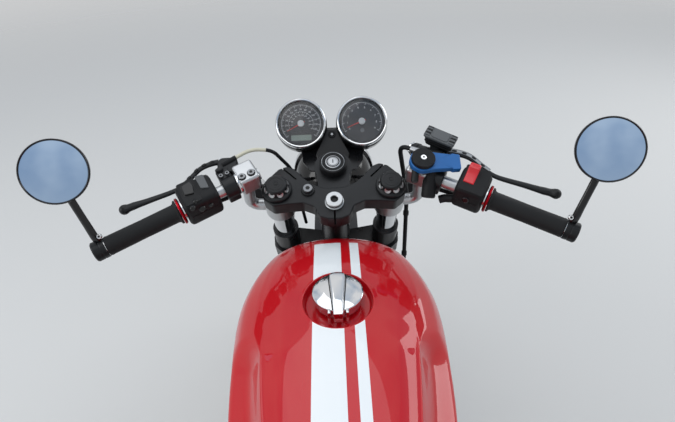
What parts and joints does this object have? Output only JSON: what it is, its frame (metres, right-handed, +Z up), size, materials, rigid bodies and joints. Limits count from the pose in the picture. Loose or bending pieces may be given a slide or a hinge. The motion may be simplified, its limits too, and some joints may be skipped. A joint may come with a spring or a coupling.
{
  "type": "cafe racer motorcycle",
  "caption": "Cafe racer motorcycle with clip-on bars, bar-end mirrors, striped tank, twin engine and spoked wheels, on its centre stand.",
  "frame": {"origin": "bottom centre of the bounding box, on the floor midway between the front tyre's foremost point and the number plate", "axes": "+X to the rider's right, +Y forwards, +Z up"},
  "size_m": [0.9398, 2.1219, 1.0949],
  "materials": {
    "frame_black": "satin",
    "engine_alloy": "matte",
    "cover_alloy": "polished",
    "chrome": "polished",
    "bright_steel": "satin",
    "tank_paint": "gloss",
    "black_plastic": "matte",
    "gloss_black": "gloss",
    "seat_leather": "satin",
    "tyre_rubber": "matte",
    "grip_rubber": "matte",
    "bar_alloy": "satin",
    "yoke_alloy": "satin",
    "lamp_glass": "gloss",
    "mirror_glass": "gloss",
    "lamp_red": "gloss",
    "caliper_black": "satin"
  },
  "bodies": {
    "chassis": {"frame_spine": "frame_black", "frame_cradle": "frame_black", "frame_rear": "frame_black", "swingarm": "frame_black", "shock_absorbers": "frame_black", "crankcase": "engine_alloy", "engine_covers": "cover_alloy", "cylinders": "engine_alloy", "cylinder_head": "engine_alloy", "intake": "black_plastic", "exhaust_headers": "chrome", "silencers": "chrome", "oil_cooler": "engine_alloy", "fuel_tank": "tank_paint", "seat_pad": "seat_leather", "seat_cowl": "tank_paint", "side_panels": "tank_paint", "rear_fender": "frame_black", "tail_lamp": "lamp_red", "rear_indicators": "black_plastic", "footrests": "frame_black", "chain": "bright_steel", "chain_guard": "black_plastic", "rear_caliper": "caliper_black"},
    "fuel_lid": {"fuel_cap": "chrome"},
    "rear_wheel": {"rear_tyre": "tyre_rubber", "rear_wheel": "bright_steel", "rear_disc": "bright_steel", "rear_sprocket": "bright_steel"},
    "centre_stand": {"centre_stand": "frame_black"},
    "side_stand": {"side_stand": "frame_black"},
    "steering": {"top_yoke": "yoke_alloy", "stem_nut": "chrome", "ignition_switch": "black_plastic", "lower_yoke": "yoke_alloy", "fork_tubes": "chrome", "fork_caps": "yoke_alloy", "fork_sliders": "engine_alloy", "clip_ons": "bar_alloy", "grips": "grip_rubber", "switch_blocks": "black_plastic", "levers": "caliper_black", "master_cylinder": "black_plastic", "phone_mount": "black_plastic", "mirrors": "gloss_black", "mirror_glasses": "mirror_glass", "gauges": "black_plastic", "gauge_bezels": "chrome", "gauge_bracket": "frame_black", "headlamp": "gloss_black", "headlamp_lens": "lamp_glass", "headlamp_ears": "frame_black", "front_indicators": "black_plastic", "front_fender": "frame_black", "front_caliper": "caliper_black", "brake_hose": "black_plastic", "control_cables": "black_plastic"},
    "front_wheel": {"front_tyre": "tyre_rubber", "front_wheel": "bright_steel", "front_disc": "bright_steel"}
  },
  "joints": [
    {"name": "steering_turn", "type": "hinge", "parent": "chassis", "child": "steering", "pos_m": [0, 0.48116, 0.80455], "axis": [0, -0.4147, 0.91], "range_deg": [-28, 28]},
    {"name": "front_wheel_spin", "type": "hinge", "parent": "steering", "child": "front_wheel", "pos_m": [0, 0.742, 0.319], "axis": [1, 0, 0], "continuous": true},
    {"name": "rear_wheel_spin", "type": "hinge", "parent": "chassis", "child": "rear_wheel", "pos_m": [0, -0.656, 0.334], "axis": [1, 0, 0], "continuous": true},
    {"name": "centre_stand_fold", "type": "hinge", "parent": "chassis", "child": "centre_stand", "pos_m": [0, -0.084, 0.16], "axis": [-1, 0, 0], "range_deg": [0, 76]},
    {"name": "side_stand_swing", "type": "hinge", "parent": "chassis", "child": "side_stand", "pos_m": [-0.122, 0.15, 0.164], "axis": [0.9348, 0, -0.3551], "range_deg": [0, 98]},
    {"name": "fuel_lid_open", "type": "hinge", "parent": "chassis", "child": "fuel_lid", "pos_m": [0, 0.2995, 0.848], "axis": [-1, 0, 0], "range_deg": [0, 80]}
  ]
}
